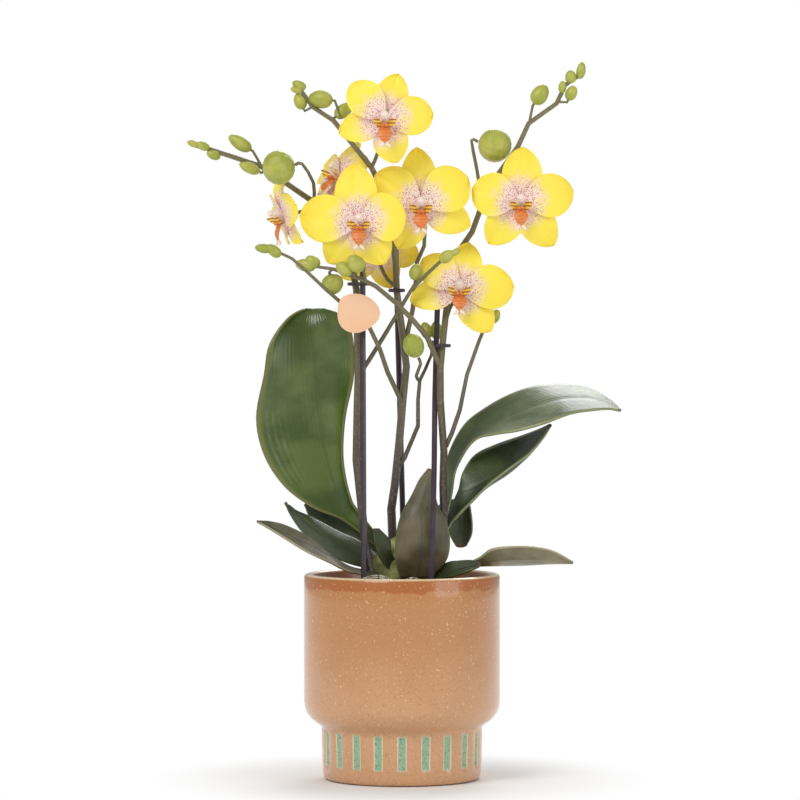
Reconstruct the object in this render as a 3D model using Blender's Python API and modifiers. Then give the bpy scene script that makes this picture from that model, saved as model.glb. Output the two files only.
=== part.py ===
"""Potted moth orchid: a glazed cover pot, a grow pot of bark and a three-spiked plant in flower.

Lengths in the tables are millimetres. The origin is the middle of the pot's foot, +Z is up, and
the front of the plant faces -Y.
"""
import math

import bmesh
import bpy
from mathutils import Matrix, Vector

MM = 0.001
GAP = 0.3                     # clearance between pieces that touch

# Cover pot
POT_RADIUS = 55.0
POT_HEIGHT = 115.0
POT_WALL = 5.0
LIP_ROUND = 1.8
FOOT_RADIUS = 44.6
FOOT_HEIGHT = 29.5
FOOT_EDGE = 2.4
SHOULDER_HEIGHT = 12.5
FLOOR = 6.5
POT_SIDES = 42
GROOVES = 21
GROOVE_WIDTH = 4.4
GROOVE_DEPTH = 1.3
GROOVE_BOTTOM = 8.6
GROOVE_TOP = 26.5

# Grow pot and bark
GROW_HEIGHT = 92.0
GROW_TOP_RADIUS = 44.5
GROW_FOOT_RADIUS = 34.0
GROW_WALL = 1.0
GROW_SIDES = 30
BARK_TOP = 112.5
BARK_EDGE = 99.0
BARK_SIDES = 24

# Short stem that the leaves and flower spikes grow from
CROWN_CENTRE = (3.0, 1.0, 116.0)
CROWN_SIZE = (21.0, 9.0, 21.0)

# Sheets
LEAF_THICKNESS = 1.4
PETAL_THICKNESS = 0.8
PETAL_REFLEX = 0.004          # how far petals bend back, per millimetre squared
WHORL_OFFSET = 0.6            # sepals lie this far behind the flower's plane, petals in front
PETAL_BASE = 0.53             # half the lobe's length over its reach: above 0.5 covers the centre

# Supports
STAKE_RADIUS = 1.6
CLIP_WIRE = 1.1
TAG_THICKNESS = 0.9

TERRACOTTA = (0.66, 0.32, 0.12)
SHEET_GREEN = (0.10, 0.17, 0.05)
OLIVE = (0.16, 0.15, 0.06)
STEM_BROWN = (0.12, 0.10, 0.07)
BUD_GREEN = (0.32, 0.42, 0.06)
YELLOW = (0.95, 0.75, 0.06)

# Flower spikes: route of the main stem, its radius at the foot and at the tip
SPIKES = {
    "spike_left": (2.5, 1.3, [
        (-18, -9, 117), (-20.5, -9, 131.5), (-23, -6.5, 156.5), (-25.5, -5, 179), (-25, -5, 206),
        (-24.5, -5, 226), (-25, -5, 251), (-25.5, -4, 274), (-29, -4, 294), (-36, -2, 310.5),
        (-51.5, 5, 325), (-63, 8, 333), (-79.5, 6, 344), (-92, 2, 348), (-106, -2, 352.5),
        (-117, -4, 355.5)]),
    "spike_middle": (2.5, 1.2, [
        (-5, 4, 128), (-6, 5, 151), (-4, 4, 164.5), (-1.5, 2, 189), (0.5, 3, 212.5),
        (2.5, 3, 231), (0, 3, 252), (-3, 2, 274), (-3.5, 1, 290), (-6.5, -1, 313.5),
        (-11, -5, 330), (-17, -8, 342.5), (-25.5, -9, 353), (-38.5, -7, 369), (-50, -6, 376.5),
        (-56, -6, 385)]),
    "spike_right": (2.5, 1.2, [
        (20, -3, 125), (23, -4, 137), (23.5, -4, 150), (23, -4, 165), (23.5, -4, 183.5),
        (21.5, -6, 212.5), (21.5, -6, 231), (23, -3, 246), (26.5, 6, 277), (30.5, 9, 294),
        (39.5, 9, 307), (48.5, 7, 331.5), (65, 0, 354.5), (71, -2, 367.5), (86.5, -3, 378.5),
        (91.5, -3, 389), (99, -3, 394)]),
}

# Side branches: the spike that each grows from, its two radii and its route
BRANCHES = {
    "branch_behind_tag": ("spike_middle", 1.4, 0.8, [
        (0, 2, 211), (-8, -6, 228), (-12.5, -12, 241.5), (-19.5, -16, 256), (-26.5, -18, 262.5),
        (-34.5, -21, 267.5), (-42.5, -31, 274.5), (-52, -38, 283.5), (-60.5, -42, 291),
        (-68, -43.5, 294.5)]),
    "branch_left_inner": ("spike_left", 1.4, 0.9, [
        (-24.5, -5, 226), (-19, -7, 234), (-11.5, -6, 246), (-4, -6, 258.5), (1.5, -7, 268),
        (5.5, -10, 274.5), (14, -17, 283), (21, -24, 289.5), (26, -27, 292.5)]),
    "branch_right_inner": ("spike_right", 1.7, 0.9, [
        (21.5, -6, 231), (14, -9, 248), (5.5, -12, 258), (-3.5, -14, 267), (-14.5, -22, 276),
        (-22.5, -27, 280), (-30, -29, 282.5), (-38, -27, 285.5), (-48, -23, 287)]),
    "branch_middle_low": ("spike_middle", 1.4, 0.8, [
        (-3.2, 3.4, 173), (1.5, 2, 180), (9, 0, 198), (9, 0, 212.5), (10, 0, 223.5),
        (13, 3, 229.5), (16.5, 8, 237.5), (17.5, 9, 245)]),
    "branch_middle_high": ("spike_middle", 1.5, 0.9, [
        (1.4, 3, 240), (3.5, 5.5, 252), (6, 7.5, 263), (7.5, 9, 275), (8.5, 8.5, 290),
        (12.5, 5, 299), (13, -1, 310), (10.5, -10.5, 321)]),
    "branch_right_outer": ("spike_right", 1.4, 0.9, [
        (23.5, -4, 184), (28, -3, 194), (32.5, -1, 207), (36.5, 2, 226.5), (43.5, 5, 246),
        (48, 6.5, 256.5), (47, 7, 266)]),
}

# Flower stalks: the stem that each grows from, and its start; each ends on its flower's back
STALKS = {
    "flower_top": ("spike_middle", [(-17, -8, 342.5), (-13, -12, 352)]),
    "flower_front": ("spike_left", [(-31, -4, 300), (-27, -10, 306)]),
    "flower_centre": ("branch_middle_high", []),
    "flower_upper_right": ("spike_right", [(48.5, 7, 331.5), (56, 6, 330)]),
    "flower_lower_right": ("spike_right", [(24, -1, 254), (27, 7, 264)]),
    "flower_left_profile": ("spike_left", [(-45, 2, 319), (-52, 1, 319)]),
    "flower_upper_left": ("spike_left", [(-36, -2, 310.5), (-32, 6, 322)]),
    "flower_behind": ("spike_middle", [(-3, 2, 276), (-8, 5, 280), (-12, 6, 288)]),
}

# Small buds: stem, tip, base and radius of each, all joined to the stem by a thin stalk
BUDS = [
    ("spike_left", (-120, -4, 357), (-114, -4, 355), 1.6, None),
    ("spike_left", (-115, -4, 356), (-108, -3, 353.5), 2.2, None),
    ("spike_left", (-109, -4, 351), (-102, -2, 348.5), 2.4, None),
    ("spike_left", (-97, 4, 360.5), (-85, 4, 353), 3.6, (-79, 6, 344)),
    ("spike_left", (-91, 1, 345), (-80, 3, 340.5), 2.9, (-77, 6, 342.5)),
    ("spike_middle", (-61, -6, 390), (-54, -6, 387), 2.5, None),
    ("spike_middle", (-62, -8, 386.5), (-56, -6, 385), 1.6, None),
    ("spike_middle", (-59, -5, 383.5), (-55, -6, 375.5), 3.2, (-51, -6, 376)),
    ("spike_middle", (-52, -6, 381.5), (-39, -8, 380), 4.8, (-34, -8, 370)),
    ("spike_middle", (-28, -3, 378), (-37, -6, 371), 3.6, (-38.5, -7, 369)),
    ("spike_right", (101, -3, 401.5), (99.5, -3, 392.5), 2.3, None),
    ("spike_right", (94.5, -3, 397), (94.5, -3, 390), 2.9, None),
    ("spike_right", (90, -4, 391), (89.5, -4, 384.5), 1.9, None),
    ("spike_right", (96.5, -5, 388), (93, -5, 380.5), 3.0, (88, -3, 379.5)),
    ("spike_right", (80.5, -4, 388.5), (74, -3, 378.5), 4.5, (71.3, -2, 368)),
    ("branch_behind_tag", (-80.5, -46, 297), (-72, -44, 296), 2.3, None),
    ("branch_behind_tag", (-74, -45, 298), (-67, -43, 292.5), 2.8, None),
    ("branch_left_inner", (28, -29, 295), (21.5, -25, 290), 3.0, None),
    ("branch_left_inner", (32, -30, 296), (27, -28, 293.5), 1.6, None),
    ("branch_left_inner", (8.5, -10, 288.5), (7.5, -10, 279.5), 3.7, (3, -8, 271)),
    ("branch_right_inner", (-29, -37, 292), (-22, -33, 285), 4.3, (-20, -26, 279)),
    ("branch_right_inner", (-36, -33, 288), (-28, -32, 283), 3.6, (-27, -28, 281)),
    ("branch_right_inner", (-59, -19, 288.5), (-48, -22, 287), 3.4, None),
    ("branch_right_inner", (-53, -22, 292), (-46, -23, 287.5), 3.0, None),
    ("branch_right_inner", (-37, -20, 272), (-40, -20, 282.5), 5.8, (-38, -27, 285.5)),
    ("branch_middle_low", (12.5, 9, 256), (15, 9, 247), 3.1, (17.5, 9, 245)),
    ("branch_middle_low", (19, 12, 256.5), (20, 10, 246.5), 3.3, (17.5, 9, 245)),
    ("branch_right_outer", (54, 6, 263), (51, 7, 256), 2.5, (48, 6.5, 256.5)),
]

# Large buds that hang on stalks of their own: tip, base, radius, stem, stalk
LARGE_BUDS = {
    "large_bud_left": ((-77.5, -19.5, 340.5), (-59.5, -19.5, 343.5), 9.6, "spike_left",
                       [(-49.5, 4, 323.5), (-49.5, -6, 334), (-53, -17, 342)]),
    "large_bud_middle": ((4, -8.5, 249.5), (9, -7.5, 236.5), 6.0, "branch_middle_low",
                         [(10, 0, 223), (8, -4, 226), (9, -6, 230)]),
    "large_bud_right": ((61.5, 6, 353.5), (43, 6, 357.5), 9.6, "spike_right",
                        [(45, 8, 324), (42, 8, 343), (39.5, 6, 355)]),
}

# Flowers: centre, the way it faces, and its five lobes as (clock angle, reach, half width)
FLOWERS = {
    "flower_top": ((-10, -30, 368), (0.08, -0.99, 0.0), dict(
        sepals=[(18, 27, 9.5), (-106, 26, 9), (163, 25, 10)],
        petals=[(-42, 27, 10.5), (82, 28, 11)])),
    "flower_front": ((-23.5, -26, 311.5), (-0.05, -0.99, 0.0), dict(
        sepals=[(-7, 33, 12), (-141, 29, 11), (149, 27, 11)],
        petals=[(-84, 34, 13.5), (79, 26, 14)])),
    "flower_centre": ((10.5, -14, 321), (0.0, -1.0, 0.0), dict(
        sepals=[(-4, 33, 10), (-152, 27, 10), (112, 30, 10)],
        petals=[(-55, 31, 12), (58, 31, 13.5)])),
    "flower_upper_right": ((66, -8, 323), (0.05, -0.99, 0.0), dict(
        sepals=[(4, 31.5, 11.5), (-143, 29, 10.5), (141, 31, 10.5)],
        petals=[(-74, 28, 12.5), (77, 31, 12.5)])),
    "flower_lower_right": ((32, -5, 274), (0.0, -0.98, 0.2), dict(
        sepals=[(12, 29, 10), (-100, 28, 9), (142, 29, 10)],
        petals=[(-47, 28, 10.5), (85, 31, 13)])),
    "flower_left_profile": ((-65.5, -2, 316), (-0.92, -0.33, -0.22), dict(
        sepals=[(0, 22, 9), (-140, 21, 8), (140, 21, 8)],
        petals=[(-75, 21, 10), (75, 21, 10)])),
    "flower_upper_left": ((-35, 10, 338), (-0.70, -0.55, 0.45), dict(
        sepals=[(0, 24, 8.5), (-140, 22, 8), (140, 22, 8)],
        petals=[(-70, 22, 10), (70, 23, 10)])),
    "flower_behind": ((-14, 17, 298), (0.05, 1.0, 0.05), dict(
        sepals=[(0, 24, 9), (-160, 24, 9), (130, 26, 9)],
        petals=[(-100, 24, 9), (75, 25, 10)])),
}

# Leaves: left margin, midrib and right margin, each from the leaf's foot to its tip
LEAVES = {
    "leaf_upright_left": ([
        (-10, -0.5, 126), (-32, 4, 144), (-49.5, 6, 151.5), (-66, 7, 163.5), (-77.5, 7, 181),
        (-82, 7, 202), (-77.5, 6, 226.5), (-74.5, 7, 243.5), (-64.5, 11, 258), (-54.5, 18, 263.5),
        (-53.5, 25, 259.5)], [
        (-9, 1.5, 127.5), (-28, 7, 148), (-35, 10, 158), (-40.5, 13, 172.5), (-44.5, 15, 189.5),
        (-47, 15, 209.5), (-49, 15, 232), (-50.5, 15, 249), (-51, 17, 258.5), (-50, 21, 263.5),
        (-49.5, 27, 258.5)], [
        (-8.5, 3.5, 129.5), (-25.5, 3, 151), (-29, 2, 157.5), (-32.5, 2, 171.5), (-33.5, 3, 185.5),
        (-32, 3, 204), (-27.5, 3, 225), (-27.5, 3, 243.5), (-31.5, 6, 258.5), (-43.5, 17, 263.5),
        (-45.5, 26, 259.5)]),
    "leaf_dark_left": ([
        (-14.5, -1, 117), (-28, -3, 120), (-37.5, -6, 124.5), (-47, -8, 131), (-56.5, -9, 139.5),
        (-63, -9, 149), (-65.5, -8, 155)], [
        (-14, 0, 121.5), (-26.5, -1, 126.5), (-36, -2, 132), (-46, -4, 138), (-55, -6, 145),
        (-61, -8, 150.5), (-65.5, -7.7, 155.3)], [
        (-13.5, 3, 124.5), (-24.5, 5, 133), (-33.5, 5, 137), (-43, 3, 142), (-52, 0, 147),
        (-59.5, -6, 150.5), (-65, -8, 155.5)]),
    "leaf_dark_back": ([
        (-13.5, 6, 122.5), (-26.5, 8, 123.5), (-36, 10, 130), (-45, 12, 138), (-52, 13, 145.5),
        (-55, 13.5, 153)], [
        (-13, 8, 126.5), (-25.5, 11, 130), (-34.5, 14, 137), (-43, 15, 144.5), (-49.5, 15, 150),
        (-55, 14, 153.5)], [
        (-12.5, 10, 130.5), (-24.5, 14, 139), (-33.5, 17, 145.5), (-41.5, 18, 150),
        (-48, 17, 153), (-54.6, 14.5, 154)]),
    "leaf_low_left": ([
        (-13, -4, 113), (-29.5, -14, 117), (-40.5, -19, 122.5), (-53.5, -24, 129),
        (-66, -28, 137), (-74.5, -31, 142.5), (-80, -32, 145.5)], [
        (-13, -2, 115), (-28.5, -10, 117.5), (-39, -13, 124), (-52.5, -17, 132), (-65, -22, 139),
        (-74.5, -27, 143), (-80, -31.8, 146)], [
        (-13, 0, 116), (-27.5, -6, 118.5), (-38, -9, 124.5), (-52.5, -11, 136),
        (-64.5, -17, 142.5), (-73.5, -24, 145.5), (-79.8, -31.6, 146.4)]),
    "leaf_front": ([
        (-1, -8, 113.5), (-3.5, -12, 123.5), (-3, -13, 137.5), (0, -12, 149), (5.5, -9, 159),
        (10, -6, 168), (15, -4, 174)], [
        (8, -9, 113.5), (10.5, -15, 123.5), (11, -18, 137.5), (11, -16, 149), (13, -12, 158.5),
        (14.5, -9, 165.5), (16, -5, 173.8)], [
        (15, -7, 113.5), (24.5, -11, 123), (26.5, -12, 134.5), (24.5, -11.5, 144.5),
        (19.5, -10.5, 154.5), (18, -8, 164), (17, -5, 173.5)]),
    "leaf_arching_right": ([
        (16, 6, 124), (24, 15, 159), (26, 18, 179.5), (35, 20, 197.5), (47.5, 22, 207.5),
        (61.5, 25, 215), (75.5, 26, 219.5), (89.5, 25, 220.5), (103.5, 20, 219.5),
        (115.5, 10, 213.5), (122.5, 0.6, 207.2)], [
        (16.5, 5, 124), (25.5, 11, 156), (28.5, 12, 175.5), (39.5, 10, 191.5), (52.5, 7, 199.5),
        (65.5, 5, 205.5), (78.5, 4, 210), (92, 3, 213), (105, 2, 213), (115.5, 1, 210),
        (123, 0, 206.5)], [
        (17, 4, 124), (27, 8, 154.5), (30.5, 7, 173.5), (40, -3, 189.5), (51.5, -11, 193.5),
        (64, -16, 195.5), (78.5, -18, 199.5), (93.5, -17, 205), (106.5, -13, 207),
        (116, -6, 207.5), (122.5, -0.6, 206.3)]),
    "leaf_channelled_right": ([
        (17.5, 3.3, 123), (26, 3, 147), (32, 3, 161), (34, 5, 171), (41, 11, 181), (53.5, 15, 187),
        (68, 13, 192), (78, 7, 196), (83.5, 0.6, 199)], [
        (18, 2.8, 121), (26, 1.5, 145), (32, 0, 159), (39, -1, 163), (47.5, -2, 167), (58, -3, 172.5),
        (68, -3, 181), (77, -2, 190), (83.8, 0, 198.6)], [
        (19, 2.4, 118.5), (26.5, 0.3, 141), (31, -4, 147), (38, -8, 154.5), (49, -12, 166),
        (61, -13, 175.5), (71.5, -11, 183), (79, -6, 191.5), (83.5, -0.6, 198.4)]),
    "leaf_drooping_back": ([
        (11, 5, 126), (17, 18, 146), (23, 26, 152.5), (26, 33, 143.5), (27.5, 36, 135),
        (31, 38, 128)], [
        (12.5, 5, 126), (22, 20, 149), (31, 27, 155.5), (33.5, 35, 146.5), (33.5, 38, 136.5),
        (34, 38.5, 127.5)], [
        (14, 5, 125), (28, 21, 151), (37, 28, 155), (39.5, 33, 146.5), (40, 36, 136),
        (37, 38, 128.5)]),
    "leaf_low_right": ([
        (20, 2, 117), (34, 0, 118.5), (44, -1, 119.5), (55, -2, 119.8), (69, -4, 120.2),
        (81.5, -9, 121.2), (95, -15.5, 121.8)], [
        (20, 0, 118), (33.5, -4, 119.5), (43.5, -8, 121.5), (54.5, -11, 123.5),
        (68.5, -14, 124.5), (81.5, -15, 124), (95.5, -16, 122)], [
        (20, -1.5, 119), (34, -8, 120.5), (43, -14, 124.5), (51, -18, 130), (68.5, -20, 131.5),
        (83.5, -20, 129), (95, -16.5, 122.6)]),
    "leaf_short_right": ([
        (18, -4, 112.5), (25, -13, 113.4), (31, -18, 115.2), (38, -20, 118), (43, -20, 120)], [
        (18, -3, 115), (25, -11, 116.5), (32, -15, 118.5), (38.5, -17.5, 120),
        (43.5, -19, 121.5)], [
        (18, -2, 117), (26, -10, 122), (32, -13, 123), (38.5, -16, 123.5), (43.5, -18.5, 122.5)]),
    "leaf_small_centre": ([
        (-6, -5, 116), (-12, -10.5, 124), (-15, -13, 132.5), (-16, -14, 140.5)], [
        (-4, -4, 118), (-9.5, -9, 126), (-12.5, -11.5, 134), (-15.5, -13.6, 141)], [
        (-2, -4, 120), (-6, -8.5, 127.5), (-7, -9, 134.5), (-13, -12, 141)]),
}

STAKES = {
    "stake_left": [(-21, -17, 50), (-22, -9.5, 289.5)],
    "stake_middle": [(3, 14, 50), (-3.5, 9, 297)],
    "stake_right": [(14, -32, 55), (17, -21.5, 139), (18, -14, 179), (18.5, -1, 215), (20, 4, 268)],
}

# Clips: height, and the stake and the stem that each holds together
CLIPS = {
    "clip_left": (277.5, "stake_left", "spike_left"),
    "clip_middle": (274.0, "stake_middle", "spike_middle"),
    "clip_right": (243.0, "stake_right", "spike_right"),
}

TAG_CENTRE = (-26.0, -22.3, 261.0)
TAG_HALF = (12.0, 11.0)
TAG_TURN = 10.0

ROOTS = {
    "root_front": (1.9, [(-24, -20, 106), (-21, -24, 112.5), (-13, -27, 114.6), (-7, -24, 112.5),
                         (-3, -18, 107)]),
    "root_right": (1.7, [(0, -27, 107), (2, -30, 112), (6.5, -31, 113.6), (10.5, -29, 111.5),
                         (12, -25, 106)]),
}


# ---------------------------------------------------------------- scene and materials

def clear_scene():
    """Remove every object that the file starts with."""
    for item in list(bpy.data.objects):
        bpy.data.objects.remove(item, do_unlink=True)


def new_collection(name, hidden=False):
    collection = bpy.data.collections.new(name)
    bpy.context.scene.collection.children.link(collection)
    collection.hide_render = hidden
    return collection


def material(name, colour, roughness=0.5, metallic=0.0):
    mat = bpy.data.materials.get(name)
    if mat is None:
        mat = bpy.data.materials.new(name)
        mat.use_nodes = True
        shader = mat.node_tree.nodes["Principled BSDF"]
        shader.inputs["Base Color"].default_value = (*colour, 1)
        shader.inputs["Roughness"].default_value = roughness
        shader.inputs["Metallic"].default_value = metallic
        mat.diffuse_color = (*colour, 1)
    return mat


clear_scene()
ORCHID = new_collection("potted_orchid")
CUTTERS = new_collection("clearance_cutters", hidden=True)
RIG = bpy.data.objects.new("orchid_origin", None)
ORCHID.objects.link(RIG)


def add_piece(name, mesh, mat):
    """Link a mesh as one named piece of the plant, under the common empty."""
    piece = bpy.data.objects.new(name, mesh)
    piece.parent = RIG
    ORCHID.objects.link(piece)
    mesh.materials.clear()
    mesh.materials.append(mat)
    mesh.shade_smooth()
    mesh.set_sharp_from_angle(angle=math.radians(40))
    return piece


def add_cutter(name, mesh):
    cutter = bpy.data.objects.new(name, mesh)
    cutter.hide_render = True
    cutter.display_type = "WIRE"
    CUTTERS.objects.link(cutter)
    return cutter


def boolean(piece, other, operation):
    """Join or cut a piece with another object, and keep the result as its mesh."""
    modifier = piece.modifiers.new(operation.title(), "BOOLEAN")
    modifier.operation = operation
    modifier.solver = "EXACT"
    modifier.object = other
    bpy.context.view_layer.update()
    evaluated = piece.evaluated_get(bpy.context.evaluated_depsgraph_get())
    result = bpy.data.meshes.new_from_object(evaluated)
    piece.modifiers.clear()
    piece.data = result


def join_solids(name, meshes, mat):
    """One closed body from several overlapping closed meshes."""
    piece = add_piece(name, meshes[0], mat)
    for mesh in meshes[1:]:
        operand = add_cutter(name + "_operand", mesh)
        boolean(piece, operand, "UNION")
        bpy.data.objects.remove(operand, do_unlink=True)
    return piece


# ---------------------------------------------------------------- curves and sheets

def on_route(points, place):
    """Point of a smooth curve through the points, place running from 0 to 1."""
    spans = len(points) - 1
    at = min(max(place, 0.0), 1.0) * spans
    i = min(int(at), spans - 1)
    t = at - i
    p1 = Vector(points[i])
    p2 = Vector(points[i + 1])
    p0 = Vector(points[i - 1]) if i > 0 else 2 * p1 - p2
    p3 = Vector(points[i + 2]) if i + 2 <= spans else 2 * p2 - p1
    return 0.5 * (2 * p1 + (p2 - p0) * t + (2 * p0 - 5 * p1 + 4 * p2 - p3) * t * t
                  + (3 * p1 - p0 - 3 * p2 + p3) * t ** 3)


def tube_mesh(points, radius_start, radius_end, steps_per_span=1, smooth=True):
    """Closed tube along a route, tapering from its start to its end."""
    curve = bpy.data.curves.new("route", "CURVE")
    curve.dimensions = "3D"
    curve.bevel_depth = MM
    curve.bevel_resolution = 2
    curve.use_fill_caps = True
    curve.twist_mode = "MINIMUM"
    count = (len(points) - 1) * steps_per_span + 1
    spline = curve.splines.new("POLY")
    spline.points.add(count - 1)
    for i, point in enumerate(spline.points):
        place = i / (count - 1)
        at = on_route(points, place) if smooth else Vector(points[0]).lerp(points[-1], place)
        point.co = (*(at * MM), 1)
        point.radius = radius_start + (radius_end - radius_start) * place
    carrier = bpy.data.objects.new("route", curve)
    ORCHID.objects.link(carrier)
    bpy.context.view_layer.update()
    evaluated = carrier.evaluated_get(bpy.context.evaluated_depsgraph_get())
    mesh = bpy.data.meshes.new_from_object(evaluated)
    bpy.data.objects.remove(carrier, do_unlink=True)
    bpy.data.curves.remove(curve)
    bm = bmesh.new()
    bm.from_mesh(mesh)
    bmesh.ops.remove_doubles(bm, verts=bm.verts, dist=0.00001)
    bmesh.ops.recalc_face_normals(bm, faces=bm.faces)
    bm.to_mesh(mesh)
    bm.free()
    return mesh


def egg_mesh(tip, base, radius, around=8, along=6):
    """Bud shape: a ball stretched between its base and its tip."""
    axis = Vector(tip) - Vector(base)
    middle = (Vector(tip) + Vector(base)) * 0.5
    turn = axis.to_track_quat("Z", "Y").to_matrix().to_4x4()
    size = Matrix.Diagonal((radius * MM, radius * MM, axis.length * 0.5 * MM, 1))
    bm = bmesh.new()
    bmesh.ops.create_uvsphere(bm, u_segments=around, v_segments=along, radius=1)
    bmesh.ops.transform(bm, matrix=Matrix.Translation(middle * MM) @ turn @ size, verts=bm.verts)
    mesh = bpy.data.meshes.new("egg")
    bm.to_mesh(mesh)
    bm.free()
    return mesh


def add_solidify(piece, thickness):
    solidify = piece.modifiers.new("Thickness", "SOLIDIFY")
    solidify.thickness = thickness * MM
    solidify.offset = 0
    return solidify


def leaf_piece(name, margins, mat, length_steps=10, width_steps=4):
    """Leaf blade: a sheet through the left margin, the midrib and the right margin."""
    left, middle, right = margins
    bm = bmesh.new()
    bmesh.ops.create_grid(bm, x_segments=width_steps, y_segments=length_steps, size=1)
    for vert in bm.verts:
        across = vert.co.x
        place = (vert.co.y + 1) * 0.5
        rib = on_route(middle, place)
        edge_a = on_route(left, place)
        edge_b = on_route(right, place)
        vert.co = MM * (rib + across * (edge_b - edge_a) * 0.5
                        + across ** 2 * ((edge_a + edge_b) * 0.5 - rib))
    mesh = bpy.data.meshes.new(name)
    bm.to_mesh(mesh)
    bm.free()
    piece = add_piece(name, mesh, mat)
    add_solidify(piece, LEAF_THICKNESS)
    return piece


def turned_piece(name, profile, sides, mat):
    """Turned shape: profile of (radius, height) that starts and ends on the axis."""
    bm = bmesh.new()
    verts = [bm.verts.new((r * MM, 0, z * MM)) for r, z in profile]
    for a, b in zip(verts, verts[1:]):
        bm.edges.new((a, b))
    mesh = bpy.data.meshes.new(name)
    bm.to_mesh(mesh)
    bm.free()
    piece = add_piece(name, mesh, mat)
    screw = piece.modifiers.new("Turning", "SCREW")
    screw.steps = sides
    screw.render_steps = sides
    screw.use_merge_vertices = True
    screw.merge_threshold = 0.00001
    return piece


def arc(centre, radius, start, end, steps):
    """Points of an arc in the profile's plane, its angles in degrees."""
    points = []
    for i in range(steps + 1):
        angle = math.radians(start + (end - start) * i / steps)
        points.append((centre[0] + radius * math.cos(angle), centre[1] + radius * math.sin(angle)))
    return points


# ---------------------------------------------------------------- pot, bark and crown

def make_ceramic_pot():
    """Cover pot: straight wall with a rounded lip, a curved shoulder and a fluted foot."""
    inner = POT_RADIUS - POT_WALL
    foot_inner = FOOT_RADIUS - POT_WALL
    shoulder = POT_RADIUS - FOOT_RADIUS
    lip_z = POT_HEIGHT - LIP_ROUND
    profile = [(0, FLOOR), (foot_inner - 3, FLOOR), (foot_inner, FLOOR + 3),
               (foot_inner, FOOT_HEIGHT - 2), (inner, FOOT_HEIGHT + SHOULDER_HEIGHT)]
    profile += arc((inner + LIP_ROUND, lip_z), LIP_ROUND, 180, 90, 3)
    profile += arc((POT_RADIUS - LIP_ROUND, lip_z), LIP_ROUND, 90, 0, 3)
    profile += [(FOOT_RADIUS + shoulder * math.sin(math.radians(a)),
                 FOOT_HEIGHT + SHOULDER_HEIGHT * (1 - math.cos(math.radians(a))))
                for a in (90, 65, 40, 18)]
    profile += [(FOOT_RADIUS + 0.6, FOOT_HEIGHT)]
    profile += arc((FOOT_RADIUS - FOOT_EDGE, FOOT_EDGE), FOOT_EDGE, 0, -90, 3)
    profile += [(0, 0)]
    pot = turned_piece("ceramic_pot", profile, POT_SIDES, material("glaze", TERRACOTTA, 0.25))
    cut_grooves(pot)


def cut_grooves(pot):
    """Upright grooves round the foot, each with a rounded top and bottom."""
    half = GROOVE_WIDTH / 2
    for i in range(GROOVES):
        angle = 2 * math.pi * i / GROOVES - math.pi / 2
        middle = Vector((math.cos(angle), math.sin(angle), 0)) * (FOOT_RADIUS + half - GROOVE_DEPTH)
        bottom = middle + Vector((0, 0, GROOVE_BOTTOM))
        top = middle + Vector((0, 0, GROOVE_TOP))
        mesh = tube_mesh([bottom, bottom.lerp(top, 0.5), top], half, half)
        cutter = add_cutter("groove_cutter_%02d" % i, mesh)
        modifier = pot.modifiers.new("Groove", "BOOLEAN")
        modifier.operation = "DIFFERENCE"
        modifier.object = cutter


def make_grow_pot():
    """Thin tapered inner pot that stands on the cover pot's floor."""
    base = FLOOR + GAP
    top = base + GROW_HEIGHT
    profile = [(0, base + GROW_WALL), (GROW_FOOT_RADIUS - GROW_WALL, base + GROW_WALL),
               (GROW_TOP_RADIUS - GROW_WALL, top), (GROW_TOP_RADIUS, top),
               (GROW_FOOT_RADIUS, base), (0, base)]
    turned_piece("grow_pot", profile, GROW_SIDES, material("clear_plastic", (0.6, 0.62, 0.6), 0.3))


def grow_pot_inner_radius(z):
    rise = (z - FLOOR - GAP) / GROW_HEIGHT
    return GROW_FOOT_RADIUS + (GROW_TOP_RADIUS - GROW_FOOT_RADIUS) * rise - GROW_WALL


def bark_profile(clearance):
    """Bark that fills the grow pot and rises in a mound under the plant."""
    low = FLOOR + GAP + GROW_WALL + GAP
    mound = [(r, BARK_EDGE + (BARK_TOP - BARK_EDGE) * (1 - (r / 41.5) ** 2.2) + clearance)
             for r in (0, 10, 20, 29, 36, 41)]
    wall = [(grow_pot_inner_radius(z) - 0.6, z) for z in (BARK_EDGE - 1, low)]
    return mound + wall + [(0, low)]


def make_bark():
    mat = material("bark", (0.2, 0.09, 0.04), 0.9)
    return turned_piece("bark_mix", bark_profile(0), BARK_SIDES, mat)


def crown_mesh(clearance):
    """Short thick stem, also used fattened to cut what grows from it."""
    bm = bmesh.new()
    bmesh.ops.create_uvsphere(bm, u_segments=14, v_segments=10, radius=1)
    size = [(s + clearance) * MM for s in CROWN_SIZE]
    bmesh.ops.transform(bm, matrix=Matrix.Translation(Vector(CROWN_CENTRE) * MM)
                        @ Matrix.Diagonal((*size, 1)), verts=bm.verts)
    mesh = bpy.data.meshes.new("crown")
    bm.to_mesh(mesh)
    bm.free()
    return mesh


# ---------------------------------------------------------------- stems, buds and flowers

def flower_frame(centre, facing, clock_angle):
    """Unit vectors of a flower: out of its face, and along a lobe at a clock angle."""
    out = Vector(facing).normalized()
    up = Vector((0, 0, 1))
    up = (up - out * up.dot(out)).normalized()
    side = up.cross(out)
    angle = math.radians(clock_angle)
    return out, up * math.cos(angle) + side * math.sin(angle)


def stalk_points(flower):
    """Route of a flower's stalk, ending square on the back of the flower."""
    centre, facing, _ = FLOWERS[flower]
    out, _ = flower_frame(centre, facing, 0)
    back = WHORL_OFFSET + PETAL_THICKNESS / 2 + 2 * GAP
    points = STALKS[flower][1]
    return list(points) + [Vector(centre) - out * (back + 6), Vector(centre) - out * back]


def stem_radius(name):
    entry = SPIKES.get(name) or BRANCHES[name][1:]
    return entry[0]


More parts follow.
